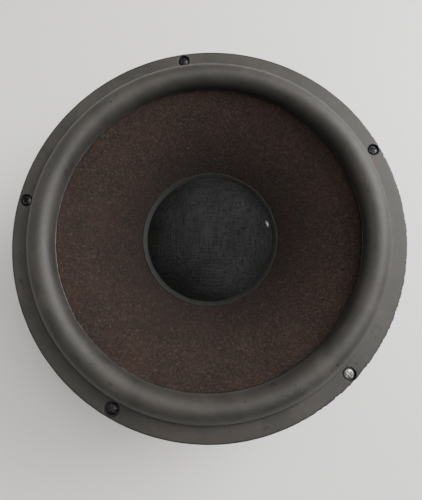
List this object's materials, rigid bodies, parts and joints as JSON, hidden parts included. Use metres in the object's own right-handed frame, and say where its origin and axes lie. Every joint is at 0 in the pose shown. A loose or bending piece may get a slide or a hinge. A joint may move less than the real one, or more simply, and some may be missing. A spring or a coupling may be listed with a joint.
{
  "type": "bass loudspeaker driver",
  "caption": "Bare round bass loudspeaker driver with a pressed basket, paper cone, half-roll surround, cloth dust cap and a ring magnet at the rear.",
  "frame": {"origin": "centre of the flat rear face of the magnet system", "axes": "+Z along the cone's axis, out of the front of the cone; the terminals are at about -Y"},
  "size_m": [0.26, 0.26, 0.1185],
  "materials": {
    "basket_enamel": "satin",
    "plate_steel": "satin",
    "pole_steel": "satin",
    "ferrite": "matte",
    "rivet_steel": "satin",
    "surround_foam": "matte",
    "spider_cloth": "matte",
    "cone_paper": "matte",
    "cap_cloth": "matte",
    "cap_glue": "satin",
    "neck_glue": "satin",
    "former_aluminium": "satin",
    "collar_paper": "matte",
    "coil_copper": "gloss",
    "eyelet_brass": "satin",
    "tinsel_braid": "satin",
    "board_phenolic": "satin",
    "tag_tinned": "satin",
    "screw_black": "satin",
    "screw_zinc": "satin"
  },
  "bodies": {
    "frame": {"back_plate": "plate_steel", "pole_piece": "pole_steel", "magnet": "ferrite", "top_plate": "plate_steel", "basket": "basket_enamel", "basket_rivets": "rivet_steel", "terminal_board": "board_phenolic", "terminal_board_rivets": "rivet_steel", "terminal_tag_positive": "tag_tinned", "terminal_tag_negative": "tag_tinned", "terminal_tag_rivets": "eyelet_brass", "tinsel_lead_positive": "tinsel_braid", "tinsel_lead_negative": "tinsel_braid", "surround": "surround_foam", "spider": "spider_cloth", "mounting_screws_black": "screw_black", "mounting_screw_bright": "screw_zinc"},
    "cone_assembly": {"cone": "cone_paper", "cone_eyelets": "eyelet_brass", "dust_cap": "cap_cloth", "dust_cap_glue_ring": "cap_glue", "voice_coil_former": "former_aluminium", "voice_coil_winding": "coil_copper", "former_collar": "collar_paper", "coil_lead_wires": "coil_copper", "neck_glue_ring": "neck_glue"}
  },
  "joints": [
    {"name": "cone_travel", "type": "slide", "parent": "frame", "child": "cone_assembly", "axis": [0, 0, 1], "range_m": [-0.008, 0.008], "stiffness_N_per_m": 1400, "deforming": ["surround", "spider", "tinsel_lead_positive", "tinsel_lead_negative"]}
  ]
}
